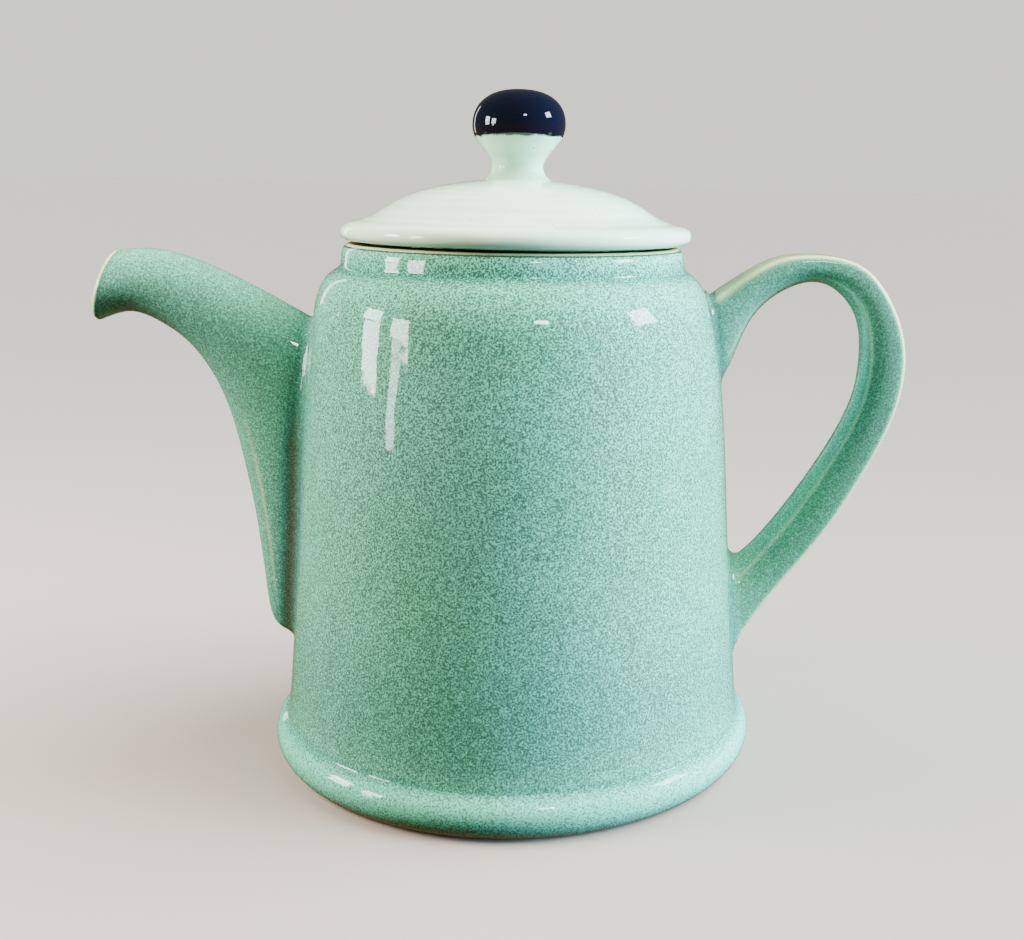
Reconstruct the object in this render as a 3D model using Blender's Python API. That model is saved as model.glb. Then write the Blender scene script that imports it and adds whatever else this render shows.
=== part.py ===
"""Lidded stoneware teapot, as its separately formed pieces.

A thrown body on a round foot bead, a hollow spout over a pierced strainer, a strap handle, and a lid
made of a domed cover, a locating flange and a knob. Lengths are in millimetres and are turned to
metres when a mesh is made. +Z is up, the table is z = 0, the spout points along -X and the handle
along +X. The origin is under the middle of the pot's overall length and width.
"""

import math

import bmesh
import bpy
import numpy as np

MM = 0.001
GAP = 0.3                       # clearance left where two pieces are joined or rest together
TURNED_SIDES = 48               # facets round every turned piece

# Driving dimensions
RIM_HEIGHT = 144.3              # table to the top of the neck, where the lid rests
NECK_RADIUS = 46.2
NECK_BAND = 6.3                 # height of the plain band round the neck
WALL = 5.0
FOOT_RADIUS = 68.8
FOOT_BEAD = 6.6                 # radius of the foot bead's round section
FOOT_RECESS = 2.0               # depth of the unglazed hollow under the base
FLOOR = 6.0                     # thickness of the base above that hollow
SPOUT_REACH = 117.4             # pot axis to the lip
HANDLE_REACH = 108.3            # pot axis to the back of the handle
SPOUT_WALL = 3.0
LID_RADIUS = 47.8
BRIM_THICKNESS = 5.0
FLANGE_DEPTH = 10.5             # how far the lid reaches down inside the neck
FLANGE_RADIUS = 39.4
FLANGE_WALL = 3.4
KNOB_RADIUS = 12.6
KNOB_EQUATOR = 31.0             # above the rim
KNOB_TOP = 40.7                 # above the rim
STEM_RADIUS = 7.0
VENT_DIAMETER = 3.6
STRAINER_HOLE = 4.0             # diameter of each hole pierced in the wall behind the spout

POT_X = (SPOUT_REACH - HANDLE_REACH) / 2
NECK_BORE = NECK_RADIUS - WALL - 0.5

CELADON = (0.26, 0.46, 0.37, 1.0)
CREAM = (0.72, 0.76, 0.64, 1.0)
NAVY = (0.006, 0.007, 0.018, 1.0)


# ---------------------------------------------------------------- outlines

def arc(centre, radius, start, end, points):
    """Points on a circle in the (radius, height) plane, between two angles in degrees."""
    angles = np.radians(np.linspace(start, end, points))
    return [(centre[0] + radius * math.cos(a), centre[1] + radius * math.sin(a)) for a in angles]


def ellipse_arc(centre, half_width, half_height, start, end, points):
    """Points on an ellipse, between two angles in degrees."""
    angles = np.radians(np.linspace(start, end, points))
    return [(centre[0] + half_width * math.cos(a), centre[1] + half_height * math.sin(a))
            for a in angles]


def spline(keys, per_span):
    """A smooth Catmull-Rom curve through the keys, with per_span points to each span."""
    keys = np.array(keys, float)
    padded = np.vstack([2 * keys[0] - keys[1], keys, 2 * keys[-1] - keys[-2]])
    curve = []
    for i in range(len(keys) - 1):
        a, b, c, d = padded[i:i + 4]
        for t in np.arange(per_span) / per_span:
            curve.append(0.5 * (2 * b + (c - a) * t + (2 * a - 5 * b + 4 * c - d) * t ** 2
                                + (3 * b - a - 3 * c + d) * t ** 3))
    curve.append(keys[-1])
    return np.array(curve)


def body_outside(clearance=0.0):
    """Outside of the pot from the rim's outer edge down to the foot, grown by a clearance."""
    neck_foot = RIM_HEIGHT - NECK_BAND
    shoulder = spline([(NECK_RADIUS + 0.4, neck_foot), (49.6, 135.9), (52.4, 132.6),
                       (54.3, 127.6)], 3)
    wall = spline([(54.3, 127.6), (57.5, 106.5), (60.6, 68.0), (63.5, 31.0), (64.8, 16.0)], 2)
    bead_centre = (FOOT_RADIUS - FOOT_BEAD, FOOT_BEAD - 0.1)
    lowest = -math.degrees(math.asin((FOOT_BEAD - 0.1) / FOOT_BEAD))
    outline = [(NECK_RADIUS - 0.4, RIM_HEIGHT - 0.5), (NECK_RADIUS, RIM_HEIGHT - 1.6)]
    outline += [tuple(p) for p in shoulder[:-1]] + [tuple(p) for p in wall]
    outline += arc(bead_centre, FOOT_BEAD, 62.0, lowest, 8)
    return [(r + clearance, z) for r, z in outline]


def body_outline():
    """The pot's whole section: outside, foot ring, recess, then the inside back up to the rim."""
    foot = [(57.5, 0.0), (56.0, FOOT_RECESS), (0.0, FOOT_RECESS)]
    floor_top = FOOT_RECESS + FLOOR
    inside = [(0.0, floor_top)] + arc((50.0, floor_top + 9.0), 9.0, -90.0, 0.0, 4)
    inside += [(58.6, 31.0), (55.6, 68.0), (52.5, 106.5), (49.2, 127.0), (46.0, 131.2),
               (NECK_BORE, 134.6), (NECK_BORE, RIM_HEIGHT - 1.0)]
    return [(NECK_BORE + 0.8, RIM_HEIGHT), (NECK_RADIUS - 1.3, RIM_HEIGHT)] + body_outside() \
        + foot + inside


# ---------------------------------------------------------------- making meshes

def glaze(name, colour, roughness):
    """A fired glaze: one Principled shader with the piece's colour."""
    material = bpy.data.materials.new(name)
    material.use_nodes = True
    shader = material.node_tree.nodes["Principled BSDF"]
    shader.inputs["Base Color"].default_value = colour
    shader.inputs["Roughness"].default_value = roughness
    shader.inputs["Metallic"].default_value = 0.0
    return material


def link(name, bm, parent, material=None):
    """Finish a bmesh in millimetres as a named object in metres, under its parent empty."""
    bmesh.ops.remove_doubles(bm, verts=bm.verts, dist=0.001)
    bmesh.ops.recalc_face_normals(bm, faces=bm.faces)
    bmesh.ops.scale(bm, vec=(MM, MM, MM), verts=bm.verts)
    mesh = bpy.data.meshes.new(name)
    bm.to_mesh(mesh)
    bm.free()
    mesh.shade_smooth()
    mesh.set_sharp_from_angle(angle=math.radians(35))
    if material:
        mesh.materials.append(material)
    obj = bpy.data.objects.new(name, mesh)
    bpy.context.collection.objects.link(obj)
    obj.parent = parent
    return obj


def turned(name, outline, parent, material=None, sides=TURNED_SIDES):
    """A closed outline of (radius, height) points spun once round the Z axis."""
    bm = bmesh.new()
    verts = [bm.verts.new((r, 0.0, z)) for r, z in outline]
    closed = outline[0][0] > 0.0 or outline[-1][0] > 0.0
    pairs = list(zip(verts, verts[1:])) + ([(verts[-1], verts[0])] if closed else [])
    edges = [bm.edges.new(pair) for pair in pairs]
    bmesh.ops.spin(bm, geom=verts + edges, cent=(0, 0, 0), axis=(0, 0, 1),
                   angle=2 * math.pi, steps=sides, use_merge=True)
    poles = [v for v in bm.verts if math.hypot(v.co.x, v.co.y) < 1e-4]
    bmesh.ops.remove_doubles(bm, verts=poles, dist=0.001)
    wires = [e for e in bm.edges if not e.link_faces]
    bmesh.ops.delete(bm, geom=wires, context="EDGES")
    return link(name, bm, parent, material)


def lofted(name, near, far, half_widths, parent, material=None, around=18):
    """A closed skin over elliptical sections. Each section spans from a near to a far outline point
    in the XZ plane, and has a half-width along Y."""
    bm = bmesh.new()
    angles = np.linspace(0.0, 2 * math.pi, around, endpoint=False)
    rings = []
    for a, b, half_width in zip(near, far, half_widths):
        middle, half = (a + b) / 2, (b - a) / 2
        rings.append([bm.verts.new((middle[0] + half[0] * math.cos(t), half_width * math.sin(t),
                                    middle[1] + half[1] * math.cos(t))) for t in angles])
    for low, high in zip(rings, rings[1:]):
        for i in range(around):
            j = (i + 1) % around
            bm.faces.new((low[i], low[j], high[j], high[i]))
    bm.faces.new(rings[0])
    bm.faces.new(rings[-1])
    return link(name, bm, parent, material)


def as_cutter(obj):
    """Hide a shape that only cuts others."""
    obj.hide_render = True
    obj.display_type = "WIRE"
    return obj


def cut(obj, cutter):
    """Take the cutter's shape out of the piece."""
    boolean = obj.modifiers.new("cut by " + cutter.name, "BOOLEAN")
    boolean.operation = "DIFFERENCE"
    boolean.solver = "EXACT"
    boolean.object = cutter


def drill(name, diameter, length, centre, tilt, parent, sides=10):
    """A round cutter: its middle at centre, its axis tilted from vertical towards +X, in degrees."""
    bm = bmesh.new()
    bmesh.ops.create_cone(bm, cap_ends=True, segments=sides, radius1=diameter / 2,
                          radius2=diameter / 2, depth=length)
    obj = as_cutter(link(name, bm, parent))
    obj.location = [value * MM for value in centre]
    obj.rotation_euler = (0.0, math.radians(tilt), 0.0)
    return obj


def empty(name, location, parent=None):
    """A plain axis that pieces hang from."""
    obj = bpy.data.objects.new(name, None)
    bpy.context.collection.objects.link(obj)
    obj.location = [value * MM for value in location]
    obj.parent = parent
    return obj


# ---------------------------------------------------------------- the pieces

def make_body(axis, material):
    """The thrown body, with its strainer pierced through the wall where the spout covers it."""
    body = turned("pot_body", body_outline(), axis, material)
    rows = ((110.0, 2), (101.0, 3), (92.0, 2), (83.0, 3), (74.0, 2))
    pitch = 7.0
    for row, (height, count) in enumerate(rows):
        for i in range(count):
            across = (i - (count - 1) / 2) * pitch
            name = f"strainer_drill_{row}_{i}"
            cut(body, drill(name, STRAINER_HOLE, 30.0, (-55.0, across, height), 90.0, axis))
    return body


def spout_sections(inset=0.0, beyond=0.0):
    """Front and back outlines and half-widths of the spout's sections, from foot to lip. The back of
    the lower sections lies inside the pot, where the body cuts it away."""
    front = [(-62.0, 26.0), (-70.8, 35.5), (-73.8, 56.0), (-77.3, 82.0), (-83.2, 103.0),
             (-90.2, 114.2), (-98.4, 120.6), (-107.6, 123.6), (-SPOUT_REACH, 121.2)]
    back = [(-52.0, 26.0), (-48.0, 35.5), (-44.0, 60.0), (-42.0, 90.0), (-47.0, 116.0),
            (-62.0, 126.4), (-78.0, 133.8), (-95.0, 140.3), (-112.6, 138.2)]
    half_width = [1.5, 5.2, 8.0, 10.0, 11.2, 11.2, 10.3, 9.0, 8.2]
    front, back = spline(front, 2), spline(back, 2)
    width = spline([(w, 0.0) for w in half_width], 2)[:, 0]
    if inset:
        across = back - front
        across /= np.linalg.norm(across, axis=1)[:, None]
        front, back, width = front + inset * across, back - inset * across, width - inset
        kept = width > 1.5
        front, back, width = front[kept], back[kept], width[kept]
    if beyond:
        out = np.array([-beyond, 0.25 * beyond])
        front = np.vstack([front, front[-1] + out])
        back = np.vstack([back, back[-1] + out])
        width = np.append(width, width[-1] + 0.3)
    return front, back, width


def make_spout(axis, material, body_shape):
    """The hollow spout, cut to sit against the body's wall over the strainer."""
    spout = lofted("spout", *spout_sections(), axis, material, around=20)
    channel = as_cutter(lofted("spout_channel", *spout_sections(SPOUT_WALL, 8.0), axis, around=20))
    cut(spout, channel)
    cut(spout, body_shape)
    return spout


def make_handle(axis, material, body_shape):
    """The strap handle, flared where it joins the shoulder and the lower wall."""
    outer = [(44.0, 118.0), (54.5, 132.6), (64.6, 140.0), (79.0, 142.8), (93.0, 139.9),
             (103.0, 131.0), (HANDLE_REACH - 0.3, 116.0), (106.6, 101.5), (99.4, 83.4),
             (85.4, 60.7), (70.6, 41.4), (63.8, 31.6), (56.0, 24.0)]
    inner = [(44.0, 96.0), (58.0, 109.6), (64.6, 124.6), (78.8, 134.9), (88.9, 132.6),
             (94.4, 125.8), (96.0, 114.6), (95.0, 105.0), (88.8, 90.2), (74.2, 68.2),
             (65.6, 57.6), (60.0, 56.4), (50.0, 60.0)]
    half_width = [11.0, 11.0, 9.2, 8.0, 7.8, 7.6, 7.4, 7.4, 7.4, 7.6, 8.6, 10.0, 10.0]
    width = spline([(w, 0.0) for w in half_width], 2)[:, 0]
    handle = lofted("handle", spline(inner, 2), spline(outer, 2), width, axis, material, around=14)
    cut(handle, body_shape)
    return handle


def make_lid(lid_axis, material):
    """The domed cover: a round-edged brim that rests on the rim, hollow underneath. Heights are
    above the pot's rim."""
    brim_bottom, brim_top = GAP, GAP + BRIM_THICKNESS
    half = BRIM_THICKNESS / 2
    edge = arc((LID_RADIUS - half, brim_bottom + half), half, -90.0, 90.0, 7)
    dome = spline([(43.4, brim_top + 0.1), (39.6, 6.9), (35.0, 9.8), (30.0, 12.6), (23.0, 15.0),
                   (15.5, 16.3), (9.0, 16.6)], 2)
    socket = [(STEM_RADIUS - 2.6, 16.6), (STEM_RADIUS - 2.6, 13.0), (0.0, 13.0)]
    hollow = [(0.0, 11.6), (14.0, 11.2), (24.0, 9.8), (31.0, 6.4), (FLANGE_RADIUS - FLANGE_WALL, 1.6),
              (FLANGE_RADIUS - FLANGE_WALL, brim_bottom)]
    outline = hollow + edge + [tuple(p) for p in dome] + socket
    lid = turned("lid", outline, lid_axis, material)
    vent = drill("vent_drill", VENT_DIAMETER, 20.0, (-14.0, 22.0, 12.5), 0.0, lid_axis)
    cut(lid, vent)
    return lid


def make_flange(lid_axis, material):
    """The ring under the cover that locates the lid inside the neck."""
    inner = FLANGE_RADIUS - FLANGE_WALL
    outline = [(inner + 0.6, 0.0), (FLANGE_RADIUS, 0.0), (FLANGE_RADIUS, 1.0 - FLANGE_DEPTH),
               (FLANGE_RADIUS - 0.9, -FLANGE_DEPTH), (inner + 0.9, -FLANGE_DEPTH),
               (inner, 1.0 - FLANGE_DEPTH), (inner, -0.8)]
    return turned("lid_flange", outline, lid_axis, material)


def make_knob(lid_axis, material):
    """The turned knob: a spigot in the cover's socket, a waisted stem and a round, flattened head."""
    spigot = STEM_RADIUS - 2.6 - GAP
    stem = spline([(9.0, 16.6 + GAP), (7.5, 18.4), (STEM_RADIUS, 20.6), (8.5, 23.8), (10.9, 26.6)], 3)
    head = ellipse_arc((0.0, KNOB_EQUATOR), KNOB_RADIUS, KNOB_TOP - KNOB_EQUATOR, 0.0, 90.0, 8)
    head[-1] = (0.0, KNOB_TOP)
    below = [(12.3, KNOB_EQUATOR - 2.2)]
    outline = [(0.0, 13.0 + GAP), (spigot, 13.0 + GAP), (spigot, 16.6 + GAP)]
    outline += [tuple(p) for p in stem] + below + head
    return turned("lid_knob", outline, lid_axis, material, sides=36)


def build():
    """Clear the scene and make every piece."""
    for obj in list(bpy.data.objects):
        bpy.data.objects.remove(obj, do_unlink=True)
    pot_axis = empty("pot_axis", (POT_X, 0.0, 0.0))
    lid_axis = empty("lid_axis", (0.0, 0.0, RIM_HEIGHT), pot_axis)
    celadon = glaze("celadon_glaze", CELADON, 0.14)
    cream = glaze("cream_glaze", CREAM, 0.16)
    navy = glaze("navy_glaze", NAVY, 0.08)

    solid = [(0.0, RIM_HEIGHT - 0.5)] + body_outside(GAP) + [(0.0, 0.0)]
    body_shape = as_cutter(turned("body_shape", solid, pot_axis))
    make_body(pot_axis, celadon)
    make_spout(pot_axis, celadon, body_shape)
    make_handle(pot_axis, celadon, body_shape)
    make_lid(lid_axis, cream)
    make_flange(lid_axis, cream)
    make_knob(lid_axis, navy)


build()
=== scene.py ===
"""A lidded stoneware teapot: the fine surfaces and the fired glazes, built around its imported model.

Sizes of the pot's own outlines are in millimetres from its turning axis and from the table; each mesh
is turned to metres when it is made. The spout points along -X and the handle along +X.
"""
import math

import bpy
import numpy as np
from mathutils import Matrix, Vector


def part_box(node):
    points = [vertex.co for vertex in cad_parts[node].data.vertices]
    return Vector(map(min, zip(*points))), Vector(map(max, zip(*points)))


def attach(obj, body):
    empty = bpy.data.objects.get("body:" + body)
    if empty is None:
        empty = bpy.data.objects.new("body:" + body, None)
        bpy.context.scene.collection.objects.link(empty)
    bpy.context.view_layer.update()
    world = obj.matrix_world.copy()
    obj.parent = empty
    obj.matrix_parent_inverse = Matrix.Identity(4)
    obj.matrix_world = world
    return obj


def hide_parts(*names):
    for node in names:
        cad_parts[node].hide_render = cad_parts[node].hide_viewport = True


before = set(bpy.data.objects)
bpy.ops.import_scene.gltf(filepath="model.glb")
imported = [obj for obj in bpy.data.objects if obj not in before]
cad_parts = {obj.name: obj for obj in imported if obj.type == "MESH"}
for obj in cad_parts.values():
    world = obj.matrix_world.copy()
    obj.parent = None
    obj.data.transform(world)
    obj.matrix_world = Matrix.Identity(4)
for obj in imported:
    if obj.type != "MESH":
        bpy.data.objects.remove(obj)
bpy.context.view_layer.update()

# ---------------------------------------------------------------- the body
# Thrown in one piece of buff stoneware: a tapering wall on a round foot bead, a soft shoulder and a
# plain neck band. Glazed all over, except the ring under the foot that it stood on in the kiln.

MM = 0.001
body_low, body_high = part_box("pot_body")
axis_x = (body_low.x + body_high.x) / 2
rim_height = body_high.z / MM
foot_radius = (body_high.x - body_low.x) / 2 / MM
neck_bore = 40.7
neck_offset = 0.8
neck_lean_start = 118.0
neck_lean_rise = 18.0
bead_radius = 6.6
foot_edge = 64.9
recess_radius = 56.0
recess_depth = 2.0
floor_top = 8.0
floor_round = 9.0


def through(keys, count):
    """A smooth curve through the keys: the natural cubic spline over the distance between them, which
    is the line that a thin lath takes when it is bent past pins."""
    keys = np.asarray(keys, float)
    at = np.append(0.0, np.cumsum(np.linalg.norm(np.diff(keys, axis=0), axis=1)))
    step = np.diff(at)[:, None]
    slope = np.diff(keys, axis=0) / step
    system = np.eye(len(keys))
    inner = np.arange(1, len(keys) - 1)
    system[inner, inner - 1] = step[:-1, 0]
    system[inner, inner] = 2 * (step[:-1] + step[1:])[:, 0]
    system[inner, inner + 1] = step[1:, 0]
    load = np.zeros_like(keys)
    load[1:-1] = 6 * np.diff(slope, axis=0)
    second = np.linalg.solve(system, load)
    place = np.linspace(0.0, at[-1], count)
    span = np.clip(np.searchsorted(at, place) - 1, 0, len(step) - 1)
    left, right, h = (place - at[span])[:, None], (at[span + 1] - place)[:, None], step[span]
    return (second[span] * right ** 3 + second[span + 1] * left ** 3) / (6 * h) \
        + (keys[span] / h - second[span] * h / 6) * right \
        + (keys[span + 1] / h - second[span + 1] * h / 6) * left


def round_edge(centre, radius, start, end, count=24):
    """Points of a circle in the (radius, height) plane, between two angles in degrees: the centre plus
    the radius times the cosine and the sine of the angle."""
    angle = np.radians(np.linspace(start, end, count))
    return np.stack([centre[0] + radius * np.cos(angle), centre[1] + radius * np.sin(angle)], axis=1)


def by_length(outline, spacing):
    """The outline again, as points one spacing apart along its length."""
    at = np.append(0.0, np.cumsum(np.linalg.norm(np.diff(outline, axis=0), axis=1)))
    place = np.linspace(0.0, at[-1], int(at[-1] / spacing) + 1)
    return np.stack([np.interp(place, at, outline[:, i]) for i in range(2)], axis=1)


def bell(value, middle, width):
    """One at the middle and fading both ways: e to the power of minus half the square of how many
    widths the value is from the middle."""
    return np.exp(-0.5 * ((value - middle) / width) ** 2)


def softened(outline, softness, count):
    """An outline that starts and ends on the axis, with its corners drawn round as thick glaze does:
    each point becomes the bell-weighted mean of its neighbours. The rows left are closer together
    where the outline bends."""
    spacing = 0.1
    fine = by_length(outline, spacing)
    reach = int(3 * softness / spacing)
    weights = bell(np.arange(-reach, reach + 1) * spacing, 0.0, softness)
    weights /= weights.sum()
    before, after = fine[reach:0:-1] * (-1, 1), fine[-2:-reach - 2:-1] * (-1, 1)
    padded = np.vstack([before, fine, after])
    smooth = np.stack([np.convolve(padded[:, i], weights, mode="valid") for i in range(2)], axis=1)
    smooth[[0, -1], 0] = 0.0
    along = np.gradient(smooth, spacing, axis=0)
    turn = np.gradient(np.unwrap(np.arctan2(along[:, 1], along[:, 0])), spacing)
    crowding = np.cumsum(1.0 + 9.0 * np.minimum(np.abs(turn), 1.0))
    rows = np.interp(np.linspace(crowding[0], crowding[-1], count), crowding, np.arange(len(smooth)))
    return np.stack([np.interp(rows, np.arange(len(smooth)), smooth[:, i]) for i in range(2)], axis=1)


def smooth_step(t):
    """Nought below 0, one above 1, and between them 3 t squared less 2 t cubed, an S-shaped rise."""
    t = np.clip(t, 0.0, 1.0)
    return t * t * (3.0 - 2.0 * t)


def skin(name, grid, close_rows=False):
    """A mesh in metres over a grid of points in millimetres. Columns close round. The first and last
    rows are single points if they have no size, and close_rows joins the last row to the first.
    Faces are turned outwards, which is where the volume they hold comes out positive."""
    rows, columns = grid.shape[:2]
    points = grid.reshape(-1, 3)
    index = np.arange(rows * columns).reshape(rows, columns)
    for row in (0, -1):
        if np.ptp(grid[row], axis=0).max() < 1e-6:
            index[row] = index[row, 0]
    nearer = np.vstack([index, index[:1]]) if close_rows else index
    a, b = nearer[:-1], nearer[1:]
    quads = np.stack([a, np.roll(a, -1, 1), np.roll(b, -1, 1), b], axis=-1).reshape(-1, 4)
    p = points[quads]
    volume = np.einsum("ij,ij->i", np.cross(p[:, 1] - p[:, 0], p[:, 2] - p[:, 0]), p[:, 0]).sum() \
        + np.einsum("ij,ij->i", np.cross(p[:, 2] - p[:, 0], p[:, 3] - p[:, 0]), p[:, 0]).sum()
    if volume < 0:
        quads = quads[:, ::-1]
    used, corners = np.unique(quads, return_inverse=True)
    faces = [list(dict.fromkeys(quad)) for quad in corners.reshape(-1, 4).tolist()]
    mesh = bpy.data.meshes.new(name)
    mesh.from_pydata((points[used] * MM + (axis_x, 0.0, 0.0)).tolist(), [], faces)
    mesh.shade_smooth()
    piece = bpy.data.objects.new(name, mesh)
    bpy.context.scene.collection.objects.link(piece)
    return piece


def turned(outline, columns):
    """The grid of an outline of (radius, height) points carried once round the axis: x and y are the
    radius times the cosine and the sine of the angle."""
    angle = np.linspace(0.0, 2 * math.pi, columns, endpoint=False)
    radius, height = outline[:, 0, None], outline[:, 1, None]
    return np.stack([radius * np.cos(angle), radius * np.sin(angle), height + 0 * angle], axis=-1)


def place_of(piece):
    """A piece's points in millimetres: distance from the axis, angle round it, and height."""
    points = np.zeros(len(piece.data.vertices) * 3, np.float32)
    piece.data.vertices.foreach_get("co", points)
    x, y, z = points.reshape(-1, 3).T / MM
    x = x - axis_x / MM
    return np.hypot(x, y), np.arctan2(y, x), z


def paint(piece, name, values):
    """Store one number per point, for the glaze to read."""
    layer = piece.data.attributes.new(name, "FLOAT", "POINT")
    layer.data.foreach_set("value", np.ascontiguousarray(values, np.float32))


def cut_out(piece, grids):
    """Takes closed shapes, given as grids, out of the piece, and keeps the result as its mesh."""
    for grid in grids:
        cutter = skin("cutter", grid)
        boolean = piece.modifiers.new("cut", "BOOLEAN")
        boolean.operation = "DIFFERENCE"
        boolean.object = cutter
        shaped = bpy.data.meshes.new_from_object(piece.evaluated_get(
            bpy.context.evaluated_depsgraph_get()))
        piece.modifiers.clear()
        piece.data = shaped
        bpy.data.objects.remove(cutter)
    piece.data.shade_smooth()


def rod(start, end, radius, columns=24):
    """The grid of a closed round rod from start to end: each end is its middle and a ring round it."""
    start, end = np.array(start, float), np.array(end, float)
    along = (end - start) / np.linalg.norm(end - start)
    side = np.cross(along, (0.3, 1.0, 0.2))
    side /= np.linalg.norm(side)
    across = np.cross(along, side)
    angle = np.linspace(0.0, 2 * math.pi, columns, endpoint=False)[:, None]
    ring = radius * (np.cos(angle) * side + np.sin(angle) * across)
    return np.stack([start + 0 * ring, start + ring, end + ring, end + 0 * ring])


neck_band = through([(42.6, rim_height), (43.8, rim_height - 0.25), (45.2, rim_height - 0.5),
                     (46.2, rim_height - 1.5), (46.7, rim_height - 3.4), (47.1, rim_height - 6.5)], 40)
outer_wall = through([(47.3, 137.6), (49.1, 136.5), (50.8, 135.0), (52.2, 133.0), (53.3, 130.8),
                      (54.4, 127.6), (55.4, 122.0), (57.5, 106.5), (60.6, 68.0), (63.5, 31.0),
                      (64.8, 16.0)], 160)
bead = round_edge((foot_radius - bead_radius, bead_radius - 0.1), bead_radius, 60.0, -50.0)
inner_keys = [(58.6, 31.0), (55.6, 68.0), (52.5, 106.5), (49.2, 127.0), (46.0, 131.2),
              (neck_bore, 134.6)]
body_outline = np.vstack([
    [(0.0, floor_top)], round_edge((50.0, floor_top + floor_round), floor_round, -90.0, -5.0),
    inner_keys, [(neck_bore, rim_height - 0.8), (neck_bore + 0.7, rim_height)],
    neck_band, outer_wall, bead,
    [(foot_edge, 0.0), (57.5, 0.0), (recess_radius, recess_depth), (0.0, recess_depth)]])
body_rows = softened(body_outline, 0.5, 340)
body_grid = turned(body_rows, 256)
body_grid[..., 0] -= neck_offset * smooth_step((body_grid[..., 2] - neck_lean_start) / neck_lean_rise)
body = skin("glazed_body", body_grid)

strainer_rows = ((110.0, 2), (101.0, 3), (92.0, 2), (83.0, 3), (74.0, 2))
strainer_pitch = 7.0
strainer_hole = 2.0
strainer_from, strainer_to = -70.0, -42.0
strainer_places = [((i - (count - 1) / 2) * strainer_pitch, height)
                   for height, count in strainer_rows for i in range(count)]
cut_out(body, [rod((strainer_from, y, height), (strainer_to, y, height), strainer_hole)
               for y, height in strainer_places])

outside_r, outside_z = np.vstack([outer_wall, bead, [(foot_edge, 0.0)]])[::-1].T


def wall_radius(z):
    """The body's outside radius at a height."""
    return np.interp(z, outside_z, outside_r)


def bands(z, rows):
    """The sum over rows of (height, width, strength) of the strength times a bell at that height."""
    return sum(strength * bell(z, height, width) for height, width, strength in rows)


# height, width and strength of the bands where the glaze pools, darkened further by painted shade in
# the groove under the neck band and the crease above the foot bead, with a broad darker band low on the
# wall; and of those painted paler: thin glaze on the neck band, and painted top light on the shoulder
# and on the foot bead
creases = [(137.5, 0.7, 0.7), (12.4, 0.9, 0.6), (139.4, 1.0, 0.25), (30.0, 12.0, 0.3)]
pale_and_top_lit_bands = [(142.0, 1.0, 0.45), (133.0, 2.5, 0.15), (9.0, 2.6, 0.50), (4.5, 2.0, 0.25)]
neck_start, neck_span = 130.0, 20.0
r, _, z = place_of(body)
outside = r > wall_radius(z) - 2.5
# pooled glaze in the creases, with painted crease shade
paint(body, "pooled_and_painted_light", np.where(outside, bands(z, creases), 0.0))
# paler: thin glaze on the neck band, painted top light on the shoulder and the foot bead
paint(body, "paler", np.where(outside, bands(z, pale_and_top_lit_bands), 0.0))
paint(body, "neck", np.maximum(z - neck_start, 0.0) / neck_span)
paint(body, "speckle", np.interp(z, [10.0, 60.0, 110.0, 137.0, 139.0], [0.75, 0.95, 1.05, 1.05, 1.5]))


def add(tree, kind, inputs=(), **settings):
    """Adds one node. inputs maps an input's name or number to a value, or to a socket to join."""
    node = tree.nodes.new(kind)
    for key, value in settings.items():
        setattr(node, key, value)
    for key, value in dict(inputs).items():
        if isinstance(value, bpy.types.NodeSocket):
            tree.links.new(value, node.inputs[key])
        else:
            node.inputs[key].default_value = value
    return node


def ramp(tree, value, stops):
    """A colour ramp over a value; stops are (position, colour)."""
    node = add(tree, "ShaderNodeValToRGB", {0: value})
    while len(node.color_ramp.elements) < len(stops):
        node.color_ramp.elements.new(1.0)
    for element, (position, colour) in zip(node.color_ramp.elements, stops):
        element.position = position
        element.color = (*colour, 1.0)
    return node.outputs[0]


def noise(tree, place, size, detail=2.0, rough=0.5):
    """Cloudy noise whose blotches are about one size across, in metres; its middle is a half."""
    return add(tree, "ShaderNodeTexNoise", {"Vector": place, "Scale": 1.0 / size, "Detail": detail,
                                            "Roughness": rough}).outputs[0]


def maths(tree, operation, a, b=0.0, clamp=False):
    """One sum on two values or sockets."""
    return add(tree, "ShaderNodeMath", {0: a, 1: b}, operation=operation, use_clamp=clamp).outputs[0]


def weighted(tree, parts):
    """The sum of some sockets, each times its own number; parts are (socket, number)."""
    total = 0.0
    for socket, number in parts:
        total = maths(tree, "ADD", total, maths(tree, "MULTIPLY", socket, number))
    return total


def painted(tree, name):
    """The number that was painted on each point under a name, and nought where none was."""
    return add(tree, "ShaderNodeAttribute", attribute_name=name).outputs["Fac"]


def mixed(tree, factor, a, b, blend="MIX"):
    """Two colours mixed by a factor."""
    node = add(tree, "ShaderNodeMix", {"Factor": factor}, data_type="RGBA", blend_type=blend)
    for socket, value in ((node.inputs[6], a), (node.inputs[7], b)):
        if isinstance(value, bpy.types.NodeSocket):
            tree.links.new(value, socket)
        else:
            socket.default_value = (*value, 1.0)
    return node.outputs[2]


def new_glaze(name, roughness, coat_roughness):
    """A fired glaze: a coloured layer under a clear glassy coat. Returns its tree, its shader and the
    place that its patterns are laid out by."""
    material = bpy.data.materials.new(name)
    material.use_nodes = True
    tree = material.node_tree
    shader = tree.nodes["Principled BSDF"]
    shader.inputs["Roughness"].default_value = roughness
    shader.inputs["Specular IOR Level"].default_value = 0.0
    shader.inputs["Coat Weight"].default_value = 1.0
    shader.inputs["Coat Roughness"].default_value = coat_roughness
    shader.inputs["Coat IOR"].default_value = 1.5
    place = add(tree, "ShaderNodeTexCoord").outputs["Object"]
    return material, tree, shader, place


def waves(tree, shader, height, strength, distance):
    """Uneven glaze: the height bends the light on the colour and on the coat alike."""
    bump = add(tree, "ShaderNodeBump", {"Height": height, "Strength": strength, "Distance": distance})
    tree.links.new(bump.outputs[0], shader.inputs["Normal"])
    tree.links.new(bump.outputs[0], shader.inputs["Coat Normal"])
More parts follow.
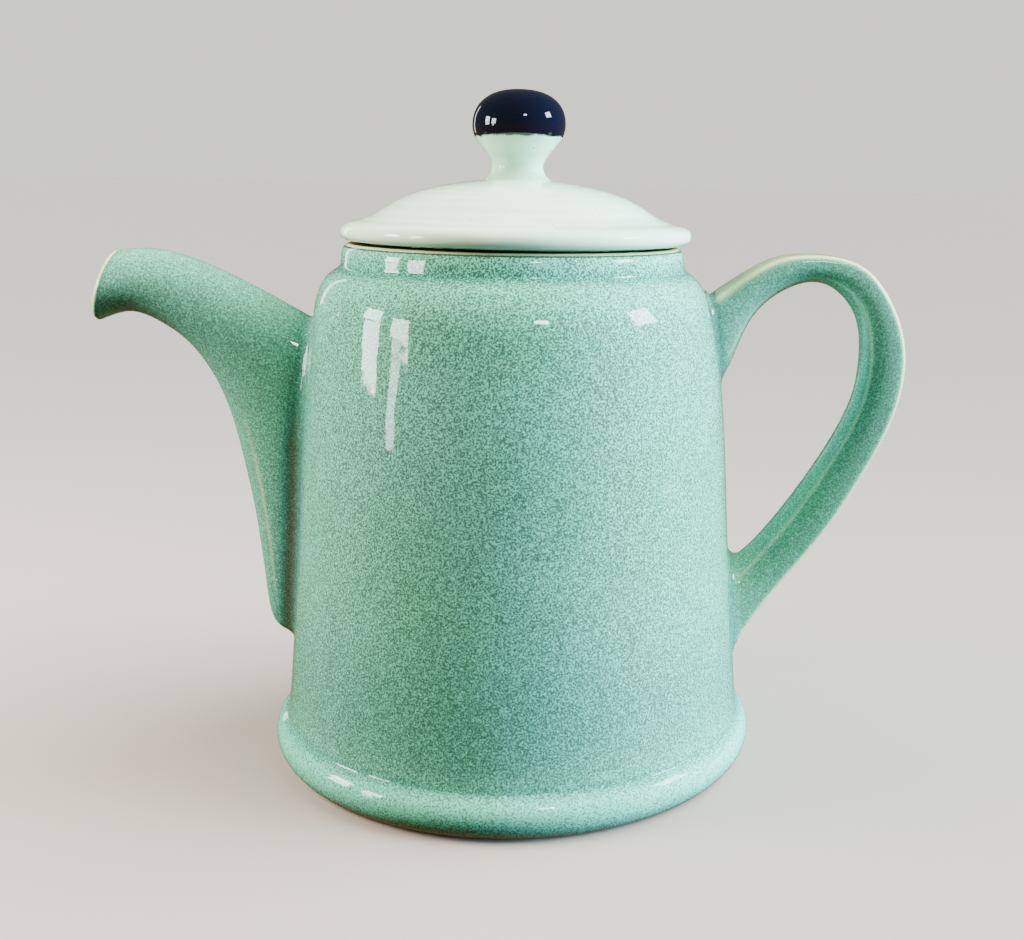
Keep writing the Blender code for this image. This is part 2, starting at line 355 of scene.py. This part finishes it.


# The grey-green glaze: dark iron flecks half a millimetre wide in a net between paler dots, denser in
# drifting clouds, deep teal where it pooled, and pale cream where it ran thin. On top of that come
# teal and then olive brown as painted shade along the spout's join with the wall, pale cream as painted
# highlight lines on the spout's blade and the handle's edges, and paler colour as painted top light on
# the shoulder and the foot bead.
FLECK_DARK = (0.052, 0.140, 0.104)
FLECK_MID = (0.088, 0.300, 0.222)
FLECK_PALE = (0.135, 0.680, 0.520)
POOL_TINT = (0.45, 0.72, 0.78)
# olive brown, multiplied in as painted shade along the spout's join with the wall
SHADE_BROWN_TINT = (0.78, 0.36, 0.35)
# brown of the glaze's break line, and near-black painted shadow in the gap under the lid
RIM_BROWN_AND_GAP_SHADE = (0.045, 0.040, 0.018)
# cream of thin glaze, also used for painted highlight lines on the spout's blade and the handle's edges
THIN_AND_LIT_CREAM = (0.58, 0.66, 0.37)
# heights on the neck, and how strongly the cream shows through at its edge and the brown below and
# above it: below, a line where the glaze broke; above, near-black painted shadow on the rim's top, in
# the gap under the lid's brim
CREAM_EDGE = [(143.36, 0.0), (143.48, 0.9)]
BREAK_LINE_AND_GAP_SHADE = [(142.92, 0.0), (143.04, 0.9), (143.28, 0.9), (143.44, 0.0), (143.80, 0.0), (143.94, 1.0)]


def neck_stops(strengths):
    """The stops of a grey ramp up the neck, from (height, strength)."""
    return [((height - neck_start) / neck_span, (strength,) * 3) for height, strength in strengths]


def celadon_glaze():
    """The grey-green glaze of the body, spout and handle."""
    material, tree, shader, place = new_glaze("celadon_glaze", 0.45, 0.03)
    pooled_and_painted_light, paler = painted(tree, "pooled_and_painted_light"), painted(tree, "paler")
    neck, speckle = painted(tree, "neck"), painted(tree, "speckle")
    fleck = noise(tree, place, 0.00046, 1.0, 0.6)
    clump = noise(tree, place, 0.0016, 2.0)
    cloud = noise(tree, place, 0.012, 3.0)
    grain = weighted(tree, ((fleck, 0.92), (clump, 0.03), (cloud, 0.05)))
    contrast = maths(tree, "MULTIPLY", maths(tree, "SUBTRACT", grain, 0.5), speckle)
    # the positive part: pooled glaze, plus painted shade along the spout's join and in the body's
    # creases
    build_up_and_shade = maths(tree, "MAXIMUM", pooled_and_painted_light, 0.0)
    # paler: thin glaze on the neck band, and painted top light on the shoulder and the foot bead
    value = weighted(tree, ((contrast, 1.0), (build_up_and_shade, -0.05), (paler, 0.16)))
    value = maths(tree, "ADD", value, 0.5)
    colour = ramp(tree, value, [(0.37, FLECK_DARK), (0.50, FLECK_MID), (0.62, FLECK_PALE)])
    hue = ramp(tree, noise(tree, place, 0.05), [(0.35, (0.92, 1.0, 0.90)), (0.65, (1.05, 1.0, 1.06))])
    colour = mixed(tree, 1.0, colour, hue, "MULTIPLY")
    # olive brown: painted shade, reached only along the spout's join with the wall
    brown = mixed(tree, 1.0, colour, SHADE_BROWN_TINT, "MULTIPLY")
    teal = mixed(tree, 1.0, colour, POOL_TINT, "MULTIPLY")
    colour = mixed(tree, maths(tree, "MULTIPLY", build_up_and_shade, 1.0, clamp=True), colour, teal)
    colour = mixed(tree, maths(tree, "SUBTRACT", pooled_and_painted_light, 1.0, clamp=True), colour, brown)
    # the negative part: thin glaze, plus painted highlight lines on the spout's blade and the handle's
    # edges
    thin_and_lit = maths(tree, "MULTIPLY", maths(tree, "MINIMUM", pooled_and_painted_light, 0.0), -1.0, clamp=True)
    ragged = maths(tree, "MULTIPLY", thin_and_lit, maths(tree, "ADD", clump, 0.55), clamp=True)
    colour = mixed(tree, ragged, colour, THIN_AND_LIT_CREAM)
    colour = mixed(tree, ramp(tree, neck, neck_stops(CREAM_EDGE)), colour, THIN_AND_LIT_CREAM)
    # the brown break line, and painted shadow on the rim's top under the lid's brim
    colour = mixed(tree, ramp(tree, neck, neck_stops(BREAK_LINE_AND_GAP_SHADE)), colour, RIM_BROWN_AND_GAP_SHADE)
    tree.links.new(colour, shader.inputs["Base Color"])
    height = weighted(tree, ((noise(tree, place, 0.014), 1.0), (fleck, 0.02)))
    waves(tree, shader, height, 0.35, 0.0004)
    return material


def bare_clay():
    """The unglazed buff clay of the foot ring."""
    material = bpy.data.materials.new("bare_clay")
    material.use_nodes = True
    tree = material.node_tree
    shader = tree.nodes["Principled BSDF"]
    shader.inputs["Roughness"].default_value = 0.85
    place = add(tree, "ShaderNodeTexCoord").outputs["Object"]
    grain = noise(tree, place, 0.0006, 4.0, 0.7)
    colour = ramp(tree, grain, [(0.35, (0.16, 0.10, 0.065)), (0.6, (0.38, 0.27, 0.19))])
    tree.links.new(colour, shader.inputs["Base Color"])
    bump = add(tree, "ShaderNodeBump", {"Height": grain, "Strength": 0.5, "Distance": 0.0002})
    tree.links.new(bump.outputs[0], shader.inputs["Normal"])
    return material


def coat_with(piece, glaze, clay=None, bare=None):
    """Gives a piece its glaze, and its bare clay on the faces where bare(radius, height) holds."""
    piece.data.materials.clear()
    piece.data.materials.append(glaze)
    if clay:
        piece.data.materials.append(clay)
        middles = np.zeros(len(piece.data.polygons) * 3, np.float32)
        piece.data.polygons.foreach_get("center", middles)
        x, y, z = middles.reshape(-1, 3).T / MM
        slots = bare(np.hypot(x - axis_x / MM, y), z).astype(np.int32)
        piece.data.polygons.foreach_set("material_index", slots)


celadon = celadon_glaze()
clay = bare_clay()
foot_ring_inside = 57.0
glaze_edge = 1.3
coat_with(body, celadon, clay, lambda r, z: (z < glaze_edge) & (r > foot_ring_inside))
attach(body, "pot")
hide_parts("pot_body")

# ---------------------------------------------------------------- the spout
# A hollow spout, made apart and luted over the strainer with slip. It starts as a narrow blade low on
# the wall, swells, leans out below the shoulder and turns level at a round lip.

spout_reach = axis_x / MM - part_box("spout")[0].x / MM
spout_wall = 3.0
lip_round = spout_wall / 2
spout_fillet = 3.2
spout_seal = 1.2
wall_taper = 0.07
# front (x, z), back (x, z) and half-width of each section, from the foot up to the lip
spout_keys = [(-60.0, 25.8, -50.0, 27.0, 2.0), (-65.6, 30.4, -49.0, 31.0, 4.0),
              (-69.8, 33.2, -48.0, 34.4, 5.0), (-71.2, 36.0, -48.0, 37.4, 5.5),
              (-72.0, 40.0, -47.0, 42.4, 6.2), (-73.1, 51.5, -45.0, 55.0, 7.6),
              (-74.9, 67.6, -43.0, 73.0, 9.0), (-77.4, 82.0, -42.0, 92.0, 10.0),
              (-83.2, 103.0, -47.0, 115.0, 11.2), (-90.2, 114.2, -60.0, 124.3, 11.2),
              (-98.4, 120.6, -76.0, 132.7, 10.4), (-107.6, 123.5, -94.0, 139.8, 9.5),
              (-112.7, 122.3, -103.6, 141.0, 9.1), (1.4 - spout_reach, 121.0, -109.2, 140.3, 8.9)]


def sections(stations, angle):
    """The grid of elliptical sections. A station gives the front (x, z), back (x, z) and half-width of
    one section: the middle, plus the cosine of the angle times half the front-to-back step, plus the
    sine of the angle times the half-width along Y."""
    front, back, width = stations[:, 0:2], stations[:, 2:4], stations[:, 4:5]
    middle, half = ((front + back) / 2)[:, None], ((front - back) / 2)[:, None]
    cosine = np.cos(angle)[None, :, None]
    flat = middle + half * cosine
    return np.stack([flat[..., 0], width * np.sin(angle), flat[..., 1]], axis=-1)


def inset(stations, depth):
    """The same stations with each section drawn in by a depth all round."""
    across = stations[:, 0:2] - stations[:, 2:4]
    across /= np.linalg.norm(across, axis=1, keepdims=True)
    drawn = stations.copy()
    drawn[:, 0:2] -= depth * across
    drawn[:, 2:4] += depth * across
    drawn[:, 4] -= np.ravel(depth)
    return drawn


def outward(grid):
    """Unit normals of a grid whose columns close round, as the cross product of its two slopes."""
    down = np.gradient(grid, axis=0)
    round_ = np.roll(grid, -1, axis=1) - np.roll(grid, 1, axis=1)
    normal = np.cross(down, round_)
    normal /= np.linalg.norm(normal, axis=-1, keepdims=True) + 1e-12
    middle = grid.mean(axis=1, keepdims=True)
    flip = np.sign(((grid - middle) * normal).sum(axis=(1, 2)))
    return normal * flip[:, None, None]


def filleted(grid, fillet):
    """Spreads a branch out where it meets the body. A point at distance d from the wall moves along
    the wall by f - sqrt(f^2 - (f - d)^2), a quarter circle of radius f that lands flat on the wall."""
    radius = np.hypot(grid[..., 0], grid[..., 1])
    wall = np.stack([grid[..., 0] / radius, grid[..., 1] / radius, wall_taper + 0 * radius], axis=-1)
    wall /= np.linalg.norm(wall, axis=-1, keepdims=True)
    spread = outward(grid)
    spread -= (spread * wall).sum(axis=-1, keepdims=True) * wall
    spread /= np.linalg.norm(spread, axis=-1, keepdims=True) + 1e-9
    distance = radius - wall_radius(grid[..., 2])
    gap = fillet - np.clip(distance, 0.0, fillet)
    amount = fillet - np.sqrt(fillet ** 2 - gap ** 2)
    moved = grid + amount[..., None] * spread
    now = np.hypot(moved[..., 0], moved[..., 1])
    wanted = wall_radius(moved[..., 2]) + distance
    pull = np.where(amount > 0, wanted / now, 1.0)
    moved[..., 0] *= pull
    moved[..., 1] *= pull
    return moved


spout_columns = 176
spout_angle = np.linspace(0.0, 2 * math.pi, spout_columns, endpoint=False)
spout_stations = through(spout_keys, 240)
outer_spout = filleted(sections(spout_stations, spout_angle), spout_fillet)
lip_turn = np.linspace(0.0, math.pi, 16)[1:-1]
lip_front, lip_back = spout_stations[-1, 0:2], spout_stations[-1, 2:4]
lip_way = np.array([lip_front[1] - lip_back[1], 0.0, lip_back[0] - lip_front[0]])
lip_way /= np.linalg.norm(lip_way)
lip_stations = inset(np.repeat(spout_stations[-1:], len(lip_turn), axis=0),
                     (lip_round * (1 - np.cos(lip_turn)))[:, None])
lip = sections(lip_stations, spout_angle) + lip_round * np.sin(lip_turn)[:, None, None] * lip_way
bore_stations = inset(spout_stations, spout_wall)
bore_stations = bore_stations[bore_stations[:, 4] > spout_seal][::-1]
bore = sections(bore_stations, spout_angle)
foot_cap, bore_cap = outer_spout[:1].mean(axis=1, keepdims=True), bore[-1:].mean(axis=1, keepdims=True)
spout = skin("glazed_spout", np.concatenate([
    np.repeat(foot_cap, spout_columns, axis=1), outer_spout, lip, bore,
    np.repeat(bore_cap, spout_columns, axis=1)]))
spout_sink = 2.0
wall_plug = np.vstack([[(0.0, 137.5)], outer_wall - (spout_sink, 0.0), [(0.0, 16.0)]])
cut_out(spout, [turned(wall_plug, 128)])

# Along the join with the wall, painted shade and a painted reflection of the dark floor turn the glaze
# teal and then brown. The glaze pools behind the lip and runs thin on the lip. A painted highlight line
# runs down each side of the blade, where across is nought in the blade's middle and one at its front.
r, angle, z = place_of(spout)
x = r * np.cos(angle)
# painted shade and painted floor reflection along the join with the wall
seam_shade = bell(r - wall_radius(z), 2.4, 2.1) \
    * np.interp(z, [28.0, 45.0, 88.0, 104.0, 120.0], [1.9, 1.9, 1.75, 0.9, 0.4])
blade = spout_stations[:150]
blade = blade[np.argsort(blade[:, 1])]
blade_front = np.interp(z, blade[:, 1], blade[:, 0])
blade_half = np.interp(z, blade[:, 1], blade[:, 0] - blade[:, 2]) / 2
across = (x - blade_front + blade_half) / blade_half
# painted highlight line down each flank of the blade
flank_highlight = bell(across, 0.72, 0.022) * np.interp(z, [30.0, 42.0, 84.0, 98.0], [0.0, 1.0, 1.0, 0.0])
past_lip = (x - lip_front[0]) * lip_way[0] + (z - lip_front[1]) * lip_way[2]
on_lip = np.clip((past_lip - 0.2) / 0.4, 0.0, 1.0)
paint(spout, "pooled_and_painted_light", seam_shade - 0.4 * flank_highlight - on_lip + 0.8 * bell(past_lip, -0.2, 0.25))
paint(spout, "speckle", np.full(len(r), 0.6))
coat_with(spout, celadon)
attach(spout, "pot")
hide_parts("spout")

# ---------------------------------------------------------------- the handle
# A strap pulled from one lump of clay, bent into an ear and luted on at the shoulder and low on the
# wall. Its back is a little flatter than its belly, so a soft ridge runs along each edge of the back.

handle_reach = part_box("handle")[1].x / MM - axis_x / MM
# inside (x, z), outside (x, z) and half-width of each section, from the shoulder to the lower wall
handle_keys = [(55.0, 104.0, 50.6, 128.6, 11.4), (59.0, 110.4, 55.3, 132.2, 10.8),
               (65.2, 124.8, 64.8, 138.5, 9.2), (71.6, 131.4, 71.4, 141.7, 8.4),
               (79.2, 134.9, 79.3, 142.9, 7.9), (88.6, 132.9, 94.2, 140.4, 7.6),
               (94.2, 125.8, 103.0, 131.0, 7.5), (95.8, 114.6, handle_reach, 116.0, 7.4),
               (94.8, 105.0, 106.7, 101.5, 7.4), (88.6, 90.2, 99.2, 83.4, 7.4),
               (74.2, 67.8, 85.3, 60.7, 7.8), (65.8, 58.0, 70.6, 41.4, 8.8),
               (62.0, 56.2, 64.6, 32.6, 10.0), (57.0, 56.0, 60.6, 28.0, 10.4)]
# half of the strap's section: -1 is its back and 1 its belly, and across it 0 is the middle
section_keys = [(-1.0, 0.0), (-0.985, 0.35), (-0.945, 0.70), (-0.85, 0.87), (-0.70, 0.95),
                (-0.45, 0.985), (-0.10, 0.99), (0.22, 0.94), (0.48, 0.84), (0.64, 0.73),
                (0.82, 0.50), (0.95, 0.25), (1.0, 0.0)]
handle_columns = 160
handle_stations = through(handle_keys, 260)
section = np.array(section_keys + [(c, -s) for c, s in section_keys[-2:0:-1]] + section_keys[:1])
section = through(section, handle_columns + 1)[:-1]
inside, back = handle_stations[:, None, 0:2], handle_stations[:, None, 2:4]
flat = (inside + back) / 2 + (inside - back) / 2 * section[None, :, :1]
handle_grid = np.stack([flat[..., 0], handle_stations[:, 4:5] * section[:, 1], flat[..., 1]], axis=-1)
handle_fillet = np.interp(handle_grid[..., 2], [70.0, 110.0], [3.5, 1.6])
handle_grid = filleted(handle_grid, handle_fillet)
handle_ends = [handle_grid[[i]].mean(axis=1, keepdims=True).repeat(handle_columns, axis=1)
               for i in (0, -1)]
handle = skin("glazed_handle", np.concatenate([handle_ends[0], handle_grid, handle_ends[1]]))

# The glaze pools along the seam with the wall. It is paler over the back and on the four edges: thin
# glaze there, with painted highlight lines along the edges.
r, _, z = place_of(handle)
near_wall = bell(r - wall_radius(z), 0.8, 0.9)
through_strap, across_strap = section[:, 0], np.abs(section[:, 1])
back_edge = np.hypot(through_strap + 0.88, across_strap - 0.84)
belly_edge = np.hypot(through_strap - 0.58, across_strap - 0.77)
# paler back and edges: thin glaze, with painted highlight lines along the ridges
thin_and_lit = 0.9 * bell(back_edge, 0.0, 0.09) + 0.3 * bell(belly_edge, 0.0, 0.06) \
    + 0.55 * smooth_step((-through_strap - 0.86) / 0.08)
thin_and_lit = np.concatenate([[0.0], np.tile(thin_and_lit, len(handle_grid)), [0.0]])
paint(handle, "pooled_and_painted_light", 0.9 * near_wall - thin_and_lit * (1 - near_wall))
paint(handle, "speckle", np.full(len(r), 0.5))
coat_with(handle, celadon)
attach(handle, "pot")
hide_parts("handle")

# ---------------------------------------------------------------- the lid
# A domed cover with a round-edged brim, in a pale cream glaze, hollow underneath. A small hole on the
# far side lets steam out and air in while the tea is poured.

lid_low, lid_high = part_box("lid")
brim_bottom = lid_low.z / MM
lid_radius = (lid_high.x - lid_low.x) / 2 / MM
flange_low, flange_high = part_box("lid_flange")
flange_radius = (flange_high.x - flange_low.x) / 2 / MM
flange_wall = 3.4
flange_inner = flange_radius - flange_wall
lid_hollow = [(0.0, 155.6), (14.0, 155.2), (24.0, 153.8), (31.0, 150.5),
              (flange_inner, 145.9), (flange_inner, brim_bottom)]
brim_keys = [(44.6, brim_bottom), (46.4, brim_bottom + 0.3), (47.6, brim_bottom + 1.3),
             (lid_radius, brim_bottom + 2.4), (47.4, brim_bottom + 3.7), (46.2, brim_bottom + 4.6),
             (44.6, brim_bottom + 5.15), (42.6, brim_bottom + 5.6), (40.8, brim_bottom + 6.2)]
dome_keys = [(40.8, brim_bottom + 6.2), (38.9, 151.6), (34.8, 154.1), (30.0, 156.6), (23.0, 158.9),
             (17.5, 160.0), (12.8, 160.7), (9.0, 161.1)]
lid_outline = np.vstack([lid_hollow, through(brim_keys, 60)[:-1], through(dome_keys, 60),
                         [(0.0, 161.1)]])
lid_rows = softened(lid_outline, 0.4, 190)
lid = skin("glazed_lid", turned(lid_rows, 256))
steam_x, steam_y, steam_radius = -14.0, 22.0, 1.8
cut_out(lid, [rod((steam_x, steam_y, 140.0), (steam_x, steam_y, 170.0), steam_radius)])

CREAM_PALE = (0.67, 0.90, 0.72)
CREAM_GREEN = (0.55, 0.82, 0.66)
PINHOLE = (0.10, 0.07, 0.05)


def throwing_rings(tree, place):
    """Uneven rings round the axis, where the potter's fingers and the turning tool passed."""
    centred = add(tree, "ShaderNodeMapping", {"Vector": place, "Location": (-axis_x, 0.0, 0.0)})
    return add(tree, "ShaderNodeTexWave", {"Vector": centred.outputs[0], "Scale": 80.0,
                                           "Distortion": 3.0, "Detail": 2.0},
               wave_type="RINGS", rings_direction="Z").outputs["Fac"]


def cream_colour(tree, place):
    """The cream glaze's colour: faint green clouds, throwing rings, and a few dark pinholes."""
    cloud = noise(tree, place, 0.02, 3.0)
    rings = throwing_rings(tree, place)
    value = weighted(tree, ((cloud, 0.8), (rings, 0.2)))
    colour = ramp(tree, value, [(0.35, CREAM_GREEN), (0.58, CREAM_PALE)])
    cells = add(tree, "ShaderNodeTexVoronoi", {"Vector": place, "Scale": 260.0})
    spot = ramp(tree, cells.outputs["Distance"], [(0.05, (1.0,) * 3), (0.11, (0.0,) * 3)])
    some = maths(tree, "GREATER_THAN", noise(tree, place, 0.007), 0.53)
    return mixed(tree, maths(tree, "MULTIPLY", spot, some), colour, PINHOLE)


def cream_glaze():
    """The cream glaze of the lid and its flange."""
    material, tree, shader, place = new_glaze("cream_glaze", 0.4, 0.05)
    tree.links.new(cream_colour(tree, place), shader.inputs["Base Color"])
    height = weighted(tree, ((noise(tree, place, 0.012), 1.0), (throwing_rings(tree, place), 0.12)))
    waves(tree, shader, height, 0.3, 0.0003)
    return material


cream = cream_glaze()
coat_with(lid, cream)
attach(lid, "lid")
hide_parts("lid")

# ---------------------------------------------------------------- the lid's flange
# A plain ring luted under the cover. It reaches down inside the neck with about a millimetre to
# spare all round, and keeps the lid from sliding off when the pot is tipped.

flange_bottom, flange_top = flange_low.z / MM, flange_high.z / MM + 0.5
flange_chamfer = 0.9
flange_outline = np.array([
    (flange_inner, flange_top), (flange_radius, flange_top),
    (flange_radius, flange_bottom + flange_chamfer), (flange_radius - flange_chamfer, flange_bottom),
    (flange_inner + flange_chamfer, flange_bottom), (flange_inner, flange_bottom + flange_chamfer),
    (flange_inner, flange_top - 0.5)])
flange_rows = by_length(np.vstack([flange_outline, flange_outline[:1]]), 0.5)[:-1]
flange = skin("glazed_flange", turned(flange_rows, 192), close_rows=True)
coat_with(flange, cream)
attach(flange, "lid")
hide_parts("lid_flange")

# ---------------------------------------------------------------- the knob
# A turned knob luted into the middle of the cover: a waisted stem in the cream glaze under a round,
# slightly flattened head, which was dipped upside down in a blue-black glaze.

knob_low, knob_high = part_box("lid_knob")
knob_radius = (knob_high.x - knob_low.x) / 2 / MM
knob_top = knob_high.z / MM
equator = 175.3
dip_height = 172.4
knob_lean = 0.7
lean_start, lean_rise = 163.0, 20.0
dip_sharpness = 0.0004
stem_keys = [(10.5, 160.4), (8.4, 161.9), (7.2, 163.6), (7.0, 165.2), (8.2, 167.6), (10.4, 170.4),
             (12.1, 173.0), (knob_radius, equator)]
head_angle = np.radians(np.linspace(0.0, 90.0, 60))
fullness = 2 / 2.35
head = np.stack([knob_radius * np.cos(head_angle) ** fullness,
                 equator + (knob_top - equator) * np.sin(head_angle) ** fullness], axis=1)
knob_outline = np.vstack([[(0.0, 159.6), (10.2, 159.6)], through(stem_keys, 60)[:-1], head])
knob_grid = turned(softened(knob_outline, 0.3, 140), 160)
knob_grid[..., 0] += knob_lean * np.clip((knob_grid[..., 2] - lean_start) / lean_rise, 0, 1)
knob = skin("glazed_knob", knob_grid)

NAVY = (0.0015, 0.0025, 0.009)
# greyer, darker cream: painted shade on the stem under the head
STEM_SHADE_TINT = (0.55, 0.70, 0.68)


def dipped_glaze():
    """Cream glaze up to the dip line, painted darker and greyer there as shade on the stem, and
    blue-black above it; the line wanders a little.
    """
    material, tree, shader, place = new_glaze("dipped_glaze", 0.3, 0.02)
    height = add(tree, "ShaderNodeSeparateXYZ", {0: place}).outputs["Z"]
    wander = maths(tree, "SUBTRACT", noise(tree, place, 0.003, 3.0), 0.5)
    wandering = weighted(tree, ((height, 1.0), (wander, 0.0016)))
    above = maths(tree, "SUBTRACT", wandering, dip_height * MM)
    dipped = maths(tree, "MULTIPLY", above, 1 / dip_sharpness, clamp=True)
    # the stem's cream painted darker as shade under the head
    shaded_stem_cream = mixed(tree, 1.0, cream_colour(tree, place), STEM_SHADE_TINT, "MULTIPLY")
    colour = mixed(tree, dipped, shaded_stem_cream, NAVY)
    tree.links.new(colour, shader.inputs["Base Color"])
    waves(tree, shader, noise(tree, place, 0.008), 0.2, 0.0002)
    return material


coat_with(knob, dipped_glaze())
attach(knob, "lid")
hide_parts("lid_knob")

# ---------------------------------------------------------------- the studio
# A plain pale floor that runs out of sight, soft lamps, and a camera a little right of the pot's
# middle, looking gently down.


def stage_floor():
    """A wide pale disc under the pot."""
    radius, sides = 40.0, 96
    angle = np.linspace(0.0, 2 * math.pi, sides, endpoint=False)
    points = np.stack([radius * np.cos(angle), radius * np.sin(angle), 0 * angle], axis=1)
    mesh = bpy.data.meshes.new("floor")
    mesh.from_pydata(points.tolist(), [], [list(range(sides))])
    material = bpy.data.materials.new("floor_paint")
    material.use_nodes = True
    shader = material.node_tree.nodes["Principled BSDF"]
    shader.inputs["Base Color"].default_value = (0.325, 0.285, 0.27, 1.0)
    shader.inputs["Roughness"].default_value = 0.7
    mesh.materials.append(material)
    floor = bpy.data.objects.new("floor", mesh)
    bpy.context.scene.collection.objects.link(floor)
    floor.visible_diffuse = floor.visible_glossy = False


def lamp_towards(name, lamp, place, target):
    """Hangs a lamp at a place in metres, turned to face a target."""
    obj = bpy.data.objects.new(name, lamp)
    bpy.context.scene.collection.objects.link(obj)
    facing = (Vector(target) - Vector(place)).to_track_quat("-Z", "Y")
    obj.matrix_world = Matrix.Translation(place) @ facing.to_matrix().to_4x4()
    return obj


def sky_light(name, place, strength, spread, colour):
    """Even daylight from one side; the glaze doesn't mirror it."""
    lamp = bpy.data.lights.new(name, "SUN")
    lamp.energy, lamp.angle, lamp.color = strength, math.radians(spread), colour
    lamp_towards(name, lamp, place, (0.0, 0.0, 0.0)).visible_glossy = False


pot_middle = (axis_x, 0.0, 0.09)


def soft_lamp(name, place, size, power, colour):
    """A square soft lamp near the pot, turned to its middle; the glaze doesn't mirror it."""
    lamp = bpy.data.lights.new(name, "AREA")
    lamp.size, lamp.energy, lamp.color = size, power, colour
    lamp_towards(name, lamp, (axis_x + place[0], place[1], place[2]), pot_middle).visible_glossy = False


def pane(name, bearing, distance, height, width, tall, brightness, colour):
    """A bright upright pane for the glaze to mirror. The bearing is in degrees from the camera's side
    of the pot, and brightness is in watts per square metre of pane for each steradian."""
    lamp = bpy.data.lights.new(name, "AREA")
    lamp.shape, lamp.size, lamp.size_y, lamp.color = "RECTANGLE", width, tall, colour
    lamp.energy = brightness * math.pi * width * tall
    turn = math.radians(bearing)
    place = (axis_x + distance * math.sin(turn), -distance * math.cos(turn), height)
    lamp_towards(name, lamp, place, (axis_x, 0.0, height)).visible_diffuse = False


stage_floor()
sky_light("day_above", (0.7, 0.0, 1.0), 8.6, 50.0, (1.0, 1.0, 0.86))
sky_light("day_right", (1.0, 0.0, 0.08), 18.8, 40.0, (0.62, 1.0, 1.28))
sky_light("day_behind_right", (1.0, 0.6, 0.4), 7.0, 44.0, (0.86, 1.0, 1.14))
sky_light("day_behind_left", (-1.0, 0.6, 0.4), 4.2, 44.0, (0.96, 1.0, 0.96))
soft_lamp("lamp_left", (-0.45, -0.1, 0.35), 0.25, 7.4, (1.16, 1.0, 0.80))
soft_lamp("lamp_right", (0.45, -0.1, 0.35), 0.25, 4.6, (0.90, 1.0, 0.78))
# name, bearing, distance, height, width, tall, brightness and colour of each pane
panes = [("left_pane_upper", -81.0, 1.2, 0.44, 0.27, 0.22, 36.0, (0.92, 1.0, 1.0)),
         ("left_pane_lower", -80.0, 1.2, 0.23, 0.24, 0.17, 30.0, (0.92, 1.0, 1.0)),
         ("right_pane_upper", -61.0, 1.2, 0.35, 0.24, 0.26, 30.0, (0.92, 1.0, 1.0)),
         ("right_pane_lower", -62.5, 1.2, 0.12, 0.11, 0.19, 18.0, (0.92, 1.0, 1.0)),
         ("right_window", 84.0, 1.6, 0.85, 0.45, 0.45, 45.0, (0.80, 0.95, 1.0)),
         ("left_glow", -138.0, 1.2, 0.35, 0.10, 0.70, 6.0, (0.90, 1.0, 1.0)),
         ("front_lamp", 19.0, 1.5, 0.9, 0.2, 0.14, 60.0, (1.0, 1.0, 1.0))]
for row in panes:
    pane(*row)

# The room around: dim light from all sides, a warm table and grey walls for the glaze to mirror, and a
# pale backdrop.
room = bpy.data.worlds.new("studio")
room.use_nodes = True
tree = room.node_tree
rays = add(tree, "ShaderNodeLightPath").outputs
facing = add(tree, "ShaderNodeSeparateXYZ", {0: add(tree, "ShaderNodeTexCoord").outputs["Generated"]})
ambient = ramp(tree, facing.outputs["Z"], [(0.0, (0.08, 0.055, 0.03)), (0.12, (0.10, 0.11, 0.10))])
mirrored = ramp(tree, facing.outputs["Z"], [(0.0, (0.24, 0.14, 0.05)), (0.12, (0.14, 0.13, 0.11))])
around = mixed(tree, rays["Is Glossy Ray"], ambient, mirrored)
around = mixed(tree, rays["Is Camera Ray"], around, (1.145, 1.138, 1.05))
tree.links.new(around, tree.nodes["Background"].inputs[0])
bpy.context.scene.world = room

camera_distance = 0.3569
camera_right = 0.0250
camera_height = 0.1609
camera_pitch = 12.65
camera_roll = 1.13
lens = bpy.data.cameras.new("camera")
lens.lens = 44.97
lens.sensor_width = 36.0
lens.shift_x = -0.0893
lens.clip_start = 0.01
camera = bpy.data.objects.new("camera", lens)
bpy.context.scene.collection.objects.link(camera)
camera.matrix_world = Matrix.Translation((axis_x + camera_right, -camera_distance, camera_height)) \
    @ Matrix.Rotation(math.radians(90.0 - camera_pitch), 4, "X") \
    @ Matrix.Rotation(math.radians(camera_roll), 4, "Z")
bpy.context.scene.camera = camera
